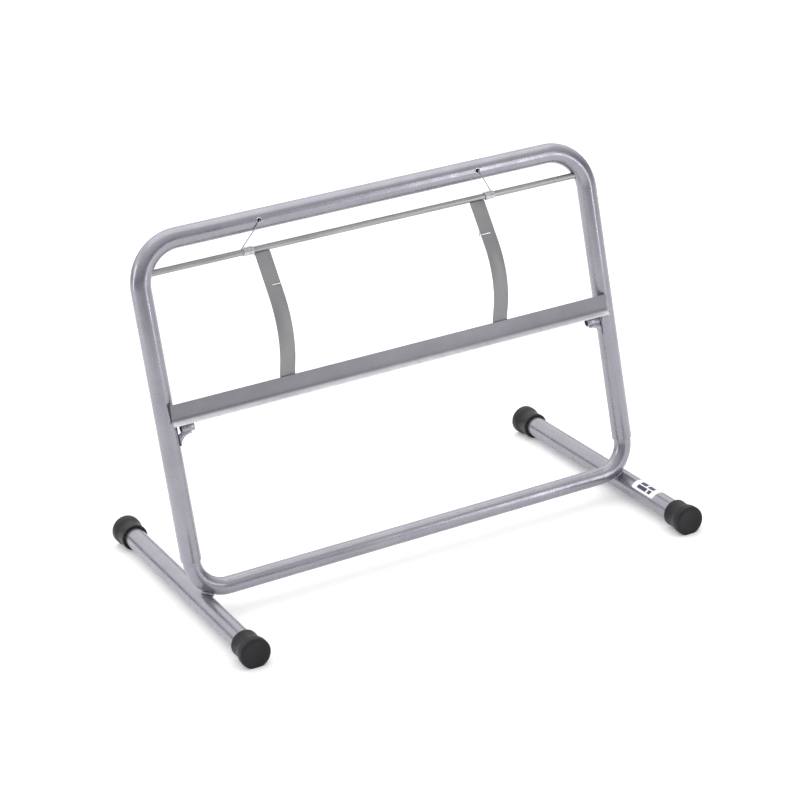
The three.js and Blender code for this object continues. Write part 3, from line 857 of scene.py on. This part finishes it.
def make_label():
    """A plain sticker with a few bars in place of print."""
    outer = FOOT_RADIUS + WELD_GAP
    middle = math.pi / 2 + LABEL_TILT
    points, faces = [], []
    radii = (FOOT_RADIUS + LABEL_CLEARANCE, outer)
    angles = (middle - LABEL_ARC / 2, middle + LABEL_ARC / 2)
    lengthways = (LABEL_Y - LABEL_LENGTH / 2, LABEL_Y + LABEL_LENGTH / 2)
    curved_patch(radii, angles, lengthways, LABEL_CORNER, points, faces)
    label = new_piece("sticker", points, faces, "base", PAPER)
    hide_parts("blank_label")

    points, faces = [], []
    radii = (outer - PRINT_SINK, outer + PRINT_RISE)
    for across, along in PRINT_BARS:
        angles = [middle + LABEL_ARC * (share - 0.5) for share in across]
        lengthways = [LABEL_Y + LABEL_LENGTH * (share - 0.5) for share in along]
        curved_patch(radii, angles, lengthways, PRINT_CORNER, points, faces)
    new_piece("sticker_bars", points, faces, "base", INK)


# ---- rod, arms and press bar
def make_rod():
    chamfer_depth, chamfer_length = ROD_CHAMFER
    ends = [(-ROD_HALF_LENGTH, 1 - chamfer_depth), (-ROD_HALF_LENGTH + chamfer_length, 1.0)]
    stations = ends + [(x, 1.0) for x in np.linspace(-ROD_PLAIN_HALF, ROD_PLAIN_HALF, ROD_STATIONS)]
    stations += [(-x, share) for x, share in reversed(ends)]
    points = []
    side, up = Vector((0, 1, 0)), Vector((0, 0, 1))
    for x, share in stations:
        points += ring_points(in_frame(x, 0, ROD_Z), side, up, ROD_RADIUS * share, ROD_SIDES)
    faces = solid_faces(len(stations), ROD_SIDES)
    rod = new_piece("rod", points, faces, "swing", STEEL)
    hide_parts("pivot_rod")


def bar_forward(height, in_front):
    """Forward position of a line parallel to the bar's upright face, in front of its back."""
    bend_reach = BAR_LIP_BEND * math.tan(BAR_LIP_TURN / 2)
    bend_start = BAR_TOP_Z - BAR_FACE_HEIGHT + bend_reach * math.cos(LEAN)
    bulge = (BAR_LIP_BEND + BAR_THICKNESS / 2) * (1 - math.cos(LEAN))
    start_forward = HOOP_RADIUS + WELD_GAP + bulge
    return start_forward + (height - bend_start) * math.tan(LEAN) + in_front / math.cos(LEAN)


def bar_centreline():
    """(forward, height) points down the bar's face and round its bend to the lip's edge."""
    bottom = BAR_TOP_Z - BAR_FACE_HEIGHT
    top = Vector((bar_forward(BAR_TOP_Z, BAR_THICKNESS / 2), BAR_TOP_Z))
    corner = Vector((bar_forward(bottom, BAR_THICKNESS / 2), bottom))
    down = (corner - top).normalized()
    c, s = math.cos(BAR_LIP_TURN), math.sin(BAR_LIP_TURN)
    lip = Vector((down.x * c - down.y * s, down.x * s + down.y * c))
    corners = [p.to_3d() for p in (top, corner, corner + lip * BAR_LIP_DEPTH)]
    return round_corners(corners, [BAR_LIP_BEND], BAR_BEND_STEPS)


def make_press_bar():
    bar = strip_piece("press_bar_sheet", bar_centreline(), BAR_THICKNESS,
                      -BAR_LENGTH / 2, BAR_LENGTH / 2, BAR_PAINT, BAR_EDGE)
    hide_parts("press_bar")
    face_y = in_frame(0, bar_forward(BAR_TOP_Z, BAR_THICKNESS), BAR_TOP_Z).y
    # paints a highlight onto the bar's lip
    paint_lip_highlight(BAR_PAINT, (face_y - LIP_FADE[0]) * MM, (face_y - LIP_FADE[1]) * MM)


def arm_centreline():
    """(forward, height) points from under the rod, round the bow and down behind the bar."""
    behind = -(WELD_GAP + ARM_THICKNESS / 2)
    tab_top = BAR_TOP_Z + ARM_THICKNESS
    tab_end = BAR_TOP_Z - ARM_TAB_LENGTH
    corners = [ARM_TOP, ARM_CORNER, (bar_forward(tab_top, behind), tab_top),
               (bar_forward(tab_end, behind), tab_end)]
    corners = [Vector((*corner, 0)) for corner in corners]
    return round_corners(corners, [ARM_BOW_RADIUS, ARM_TAB_BEND], ARM_BEND_STEPS)


def make_arms():
    for name, side in SIDES:
        left = side * ARM_X - ARM_WIDTH / 2
        right = side * ARM_X + ARM_WIDTH / 2
        arm = strip_piece(f"arm_{name}", arm_centreline(), ARM_THICKNESS, left, right, ARM_PAINT, ARM_EDGE)
        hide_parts(f"bar_arm_{name}")


# ---- springs
def spring_paths(side):
    """Paths of a spring's lower leg, coil and upper leg."""
    down = (Vector(ARM_CORNER) - Vector(ARM_TOP)).normalized()
    arm_angle = math.atan2(down.x, -down.y)
    hook_offset = HOOP_RADIUS + HOOK_CLEARANCE + WIRE_RADIUS
    hook_angle = math.asin((hook_offset + COIL_RADIUS) / (FRAME_HEIGHT - ROD_Z))
    hook_forward = hook_offset / math.cos(hook_angle)
    start = -(math.pi / 2 + arm_angle)
    turn = 2 * math.pi * COIL_TURNS + arm_angle + hook_angle
    steps = round(COIL_STEPS * turn / (2 * math.pi))
    coil = []
    for i in range(steps + 1):
        turned = turn * i / steps
        x = side * (COIL_INNER_X + COIL_PITCH * turned / (2 * math.pi))
        coil.append(in_frame(x, COIL_RADIUS * math.sin(start + turned),
                             ROD_Z + COIL_RADIUS * math.cos(start + turned)))

    inner_x = side * (ARM_X - ARM_WIDTH / 2 - WELD_GAP - WIRE_RADIUS)
    front = Vector((-down.y, down.x))
    ahead = (Vector(ARM_TOP) - Vector((0, ROD_Z))).dot(front)
    clear = ahead + ARM_THICKNESS / 2 + WELD_GAP + WIRE_RADIUS + COIL_RADIUS
    coil_start = Vector((COIL_RADIUS * math.sin(start), ROD_Z + COIL_RADIUS * math.cos(start)))
    leg_end = coil_start + down * SPRING_LEG
    corner = leg_end + front * clear
    lower = [
        in_frame(inner_x + side * SPRING_TIP, corner.x, corner.y),
        in_frame(inner_x, corner.x, corner.y),
        in_frame(inner_x, leg_end.x, leg_end.y),
        coil[0],
    ]
    upper = [
        coil[-1],
        in_frame(side * HOOK_HOLE_X, hook_forward, FRAME_HEIGHT),
        in_frame(side * HOOK_HOLE_X, HOOP_RADIUS - HOOK_REACH, FRAME_HEIGHT),
    ]
    lower = round_corners(lower, [SPRING_TIP_BEND, SPRING_TIP_BEND], WIRE_BEND_STEPS)
    upper = round_corners(upper, [SPRING_HOOK_BEND], WIRE_BEND_STEPS)
    return lower, coil, upper


def make_springs():
    """Each spring in three pieces: the hoop holds its hook and the arm turns its leg, so the hook leg
    rides the hoop, the arm leg rides the swing, and the coil rides no body.
    """
    for name, side in SIDES:
        lower, coil, upper = spring_paths(side)
        lower_leg = wire_piece(f"spring_{name}_arm_leg", lower, "swing", ZINC)
        # the hook leg takes the darker copy of the zinc, as painted shade
        upper_leg = wire_piece(f"spring_{name}_hook_leg", upper, "hoop", SHADED_ZINC)
        coil_piece = wire_piece(f"spring_{name}_coil", coil, None, ZINC)
        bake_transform(coil_piece)
        for piece in (lower_leg, upper_leg, coil_piece):
            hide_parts(f"return_spring_{name}")


# ---- sockets and gussets
def make_sockets():
    for name, side in SIDES:
        path = []
        for x in (SOCKET_INNER_X, SOCKET_OUTER_X):
            path.append(in_frame(side * x, SOCKET_FORWARD, SOCKET_Z))
        wall = SOCKET_RADIUS - SOCKET_BORE
        socket = tube_piece(f"socket_{name}", path, SOCKET_RADIUS, wall, "hoop", SOCKET_RIM)
        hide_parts(f"axle_socket_{name}")


def gusset_outline():
    """(across, height) points of the right gusset, round its hollow curved edge."""
    back = SOCKET_FORWARD - GUSSET_THICKNESS / 2
    outer = HALF_SPACING - math.sqrt(HOOP_RADIUS ** 2 - back ** 2) - WELD_GAP
    inner = GUSSET_INNER_X
    top = SOCKET_Z - SOCKET_RADIUS - WELD_GAP
    start = Vector((inner, top - GUSSET_LIP))
    middle = Vector((outer - GUSSET_HOLLOW * (outer - inner), top - GUSSET_LIP))
    end = Vector((outer, top - GUSSET_DROP))
    outline = [Vector((outer, top)), Vector((inner, top))]
    for i in range(GUSSET_STEPS + 1):
        t = i / GUSSET_STEPS
        outline.append(start * (1 - t) ** 2 + middle * 2 * t * (1 - t) + end * t ** 2)
    return outline


def make_gussets():
    front = SOCKET_FORWARD + GUSSET_THICKNESS / 2
    back = SOCKET_FORWARD - GUSSET_THICKNESS / 2
    outline = gusset_outline()
    count = len(outline)
    for name, side in SIDES:
        points = [in_frame(side * p.x, front, p.y) for p in outline]
        points += [in_frame(side * p.x, back, p.y) for p in outline]
        faces = [tuple(range(count)), tuple(range(2 * count - 1, count - 1, -1))]
        for i in range(count):
            j = (i + 1) % count
            faces.append((i, j, count + j, count + i))
        gusset = new_piece(f"gusset_{name}", points, faces, "hoop", SILVER,
                           STRIP_CRISP_ANGLE)
        ease_edges(gusset, GUSSET_EDGE)
        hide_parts(f"socket_gusset_{name}")


# ---- welds
def bead(path, radius, points, faces, closed=False):
    """Adds a weld bead along a path: overlapping ripples, tapered at open ends."""
    dense = []
    for a, b in zip(path, path[1:]):
        count = max(1, round((b - a).length / BEAD_STEP))
        dense += [a + (b - a) * (i / count) for i in range(count)]
    dense.append(path[-1])
    length = sum((b - a).length for a, b in zip(dense, dense[1:]))
    radii, travelled = [], 0.0
    for i, point in enumerate(dense):
        if i:
            travelled += (point - dense[i - 1]).length
        phase = (travelled / WELD_RIPPLE) % 1.0
        size = radius * (WELD_HOLLOW + WELD_CREST * math.sqrt(1 - phase))
        if not closed:
            end = min(travelled, length - travelled)
            size *= min(1.0, WELD_TAPER + (1 - WELD_TAPER) * end / radius)
        radii.append(size)
    wire_mesh(dense, radii, BEAD_SIDES, points, faces)


def make_foot_welds():
    """A saddle of weld where each lower bend sits on its foot tube."""
    for name, side in SIDES:
        bend_centre = in_frame(side * (HALF_SPACING - LOWER_BEND), 0, LOWER_BEND)
        lean_shift = (bend_centre.z - FOOT_Z) * math.tan(LEAN)
        foot_axis = Vector((side * FOOT_X, bend_centre.y - lean_shift, FOOT_Z))
        normal = (bend_centre - foot_axis).normalized()
        contact = foot_axis + normal * (FOOT_RADIUS + WELD_GAP / 2)
        along = Vector((0, 1, 0))
        across = normal.cross(along).normalized()
        along = across.cross(normal)
        path = []
        for i in range(FOOT_WELD_STEPS + 1):
            angle = 2 * math.pi * i / FOOT_WELD_STEPS
            u = FOOT_WELD_REACH[0] * math.cos(angle)
            v = FOOT_WELD_REACH[1] * math.sin(angle)
            rise = u * u / (4 * LOWER_RADIUS) - v * v / (4 * FOOT_RADIUS)
            rise += v * v / (4 * (LOWER_BEND + LOWER_RADIUS))
            path.append(contact + along * u + across * v + normal * rise)
        points, faces = [], []
        bead(path, FOOT_WELD_RADIUS, points, faces, closed=True)
        new_piece(f"foot_weld_{name}", points, faces, "base", WELD)


def make_arm_welds():
    """Beads behind each arm's top, under the rod, and round its tab behind the bar."""
    rod_forward = ARM_TOP[0] - ARM_THICKNESS / 2 - ROD_WELD_BACK
    tab_end = BAR_TOP_Z - ARM_TAB_LENGTH
    tab_z = tab_end - TAB_WELD_DROP
    side_heights = (tab_end + TAB_SIDE_WELD_INSETS[0], BAR_TOP_Z - TAB_SIDE_WELD_INSETS[1])
    for name, side in SIDES:
        left = side * ARM_X - ARM_WIDTH / 2
        right = side * ARM_X + ARM_WIDTH / 2
        ends = (left + STRIP_WELD_INSET, right - STRIP_WELD_INSET)
        points, faces = [], []
        path = [in_frame(x, rod_forward, ARM_TOP[1] - ROD_WELD_DROP) for x in ends]
        bead(path, ROD_WELD_RADIUS, points, faces)
        new_piece(f"rod_weld_{name}", points, faces, "swing", WELD)

        points, faces = [], []
        path = [in_frame(x, bar_forward(tab_z, -TAB_WELD_BACK), tab_z) for x in ends]
        bead(path, TAB_WELD_RADIUS, points, faces)
        for x in (left, right):
            path = [in_frame(x, bar_forward(z, -TAB_SIDE_WELD_BACK), z) for z in side_heights]
            bead(path, TAB_SIDE_WELD_RADIUS, points, faces)
        new_piece(f"bar_weld_{name}", points, faces, "swing", WELD)


def make_gusset_welds():
    """Beads where each gusset meets the upright, and where the socket sits on the gusset."""
    outline = gusset_outline()
    outer, inner, bottom = outline[0], outline[1], outline[-1]
    upright_ends = (outer - Vector((0, GUSSET_WELD_DROP)), bottom)
    socket_z = inner.y + SOCKET_WELD_RISE
    socket_ends = (inner.x + SOCKET_WELD_INSETS[0], outer.x - SOCKET_WELD_INSETS[1])
    for name, side in SIDES:
        points, faces = [], []
        for forward in (SOCKET_FORWARD - GUSSET_THICKNESS / 2, SOCKET_FORWARD + GUSSET_THICKNESS / 2):
            path = [in_frame(side * (p.x + GUSSET_WELD_SINK), forward, p.y) for p in upright_ends]
            bead(path, GUSSET_WELD_RADIUS, points, faces)
            path = [in_frame(side * x, forward, socket_z) for x in socket_ends]
            bead(path, SOCKET_WELD_RADIUS, points, faces)
        new_piece(f"gusset_weld_{name}", points, faces, "hoop", WELD)


def make_hook_hole_rims():
    """The thin raised lip that punching leaves round each hook hole in the top tube."""
    radius = HOOK_HOLE_RADIUS + HOLE_LIP_OFFSET
    for name, side in SIDES:
        path = []
        for i in range(HOLE_LIP_STEPS):
            angle = 2 * math.pi * i / HOLE_LIP_STEPS
            height = radius * math.sin(angle)
            forward = math.sqrt(HOOP_RADIUS ** 2 - height ** 2)
            x = side * HOOK_HOLE_X + radius * math.cos(angle)
            path.append(in_frame(x, forward, FRAME_HEIGHT + height))
        frames = path_frames(path + [path[0]])
        points = []
        for point, (_, across, up) in zip(path, frames):
            points += ring_points(point, across, up, HOLE_LIP_RADIUS, HOLE_LIP_SIDES)
        faces = grid_faces(HOLE_LIP_STEPS, HOLE_LIP_SIDES, close_rows=True)
        new_piece(f"hook_hole_rim_{name}", points, faces, "hoop", ZINC)


# ---- stage, lights and camera
def make_floor():
    bpy.ops.mesh.primitive_plane_add(size=FLOOR_SIZE, location=(0, 0, -FLOOR_DROP))
    floor = bpy.context.object
    floor.name = "studio_floor"
    material, nodes, links, surface = node_material("studio_floor_look")
    place = own_place(nodes)
    shades = noise(nodes, links, place, 1.5, 2)
    colour = tint(nodes, links, shades, (0.93, 0.93, 0.935), (0.95, 0.95, 0.95))
    links.new(colour, surface.inputs["Base Color"])
    surface.inputs["Roughness"].default_value = 0.9
    surface.inputs["Specular IOR Level"].default_value = 0.1
    surface.inputs["Emission Color"].default_value = (1, 1, 1, 1)
    surface.inputs["Emission Strength"].default_value = 0.14
    floor.data.materials.append(material)


def make_world():
    """A bright backdrop and a dim room in front light the stand; past the floor it looks plain white."""
    world = bpy.data.worlds.new("studio")
    bpy.context.scene.world = world
    world.use_nodes = True
    nodes, links = world.node_tree.nodes, world.node_tree.links
    direction = nodes.new("ShaderNodeTexCoord").outputs["Generated"]
    split = nodes.new("ShaderNodeSeparateXYZ")
    links.new(direction, split.inputs["Vector"])
    # both ramps run from level, 0, to straight up, 1
    backdrop = ramp(nodes, links, split.outputs["Z"], [
        (0.0, (0.05, 0.05, 0.06)),
        (0.11, (0.07, 0.07, 0.08)),
        (0.22, (0.86, 0.86, 0.86)),
        (0.36, (1.0, 1.0, 0.99)),
        (1.0, (0.75, 0.75, 0.75)),
    ])
    room = ramp(nodes, links, split.outputs["Z"], [
        (0.0, (0.09, 0.085, 0.13)),
        (0.15, (0.13, 0.125, 0.17)),
        (0.38, (0.42, 0.42, 0.43)),
        (0.7, (0.62, 0.62, 0.62)),
        (1.0, (0.75, 0.75, 0.75)),
    ])
    behind = map_range(nodes, links, split.outputs["Y"], *WORLD_SEAM, 0.0, 1.0)
    light = mix_colour(nodes, links, behind, room, backdrop)
    seen_directly = nodes.new("ShaderNodeLightPath").outputs["Is Camera Ray"]
    shown = mix_colour(nodes, links, seen_directly, light, (1, 1, 1, 1))
    links.new(shown, nodes["Background"].inputs["Color"])
    nodes["Background"].inputs["Strength"].default_value = WORLD_STRENGTH


def area_light(name, place, target, size, power):
    """A soft rectangular lamp that faces a target; places and sizes in metres, power in watts."""
    light = bpy.data.lights.new(name, "AREA")
    light.shape = "RECTANGLE"
    light.size, light.size_y = size
    light.energy = power
    lamp = bpy.data.objects.new(name, light)
    lamp.location = place
    lamp.rotation_euler = (Vector(target) - Vector(place)).to_track_quat("-Z", "Y").to_euler()
    bpy.context.scene.collection.objects.link(lamp)


def make_lights():
    area_light("softbox_top", (0.2, 0.6, 2.6), (0, 0, 0.2), (3.2, 2.6), 22)
    area_light("strip_front_right", (1.35, -2.3, 0.75), (0.1, 0, 0.25), (0.22, 1.5), 8)
    area_light("strip_left", (-2.4, 0.5, 0.9), (0, 0, 0.25), (0.25, 1.4), 8)


def make_camera():
    """The camera, with its roll turned about its own line of sight."""
    heading, dip, roll = CAMERA_HEADING, CAMERA_DIP, CAMERA_ROLL
    level = math.cos(dip)
    forward = Vector((math.sin(heading) * level, math.cos(heading) * level, -math.sin(dip)))
    right = Vector((math.cos(heading), -math.sin(heading), 0))
    up = right.cross(forward)
    rolled_right = right * math.cos(roll) + up * math.sin(roll)
    rolled_up = up * math.cos(roll) - right * math.sin(roll)
    camera = bpy.data.objects.new("camera", bpy.data.cameras.new("camera"))
    turn = Matrix((rolled_right, rolled_up, -forward)).transposed().to_4x4()
    camera.matrix_world = Matrix.Translation(CAMERA_PLACE) @ turn
    camera.data.lens = CAMERA_LENS
    camera.data.sensor_width = SENSOR_WIDTH
    camera.data.clip_start = CLIP_NEAR
    camera.data.clip_end = CLIP_FAR
    bpy.context.scene.collection.objects.link(camera)
    bpy.context.scene.camera = camera
    bpy.context.scene.view_settings.view_transform = "Standard"


make_upper_hoop()
make_lower_tube()
make_foot_tubes()
make_caps()
make_label()
make_rod()
make_press_bar()
make_arms()
make_springs()
make_sockets()
make_gussets()
make_foot_welds()
make_arm_welds()
make_gusset_welds()
make_hook_hole_rims()
make_floor()
make_world()
make_lights()
make_camera()
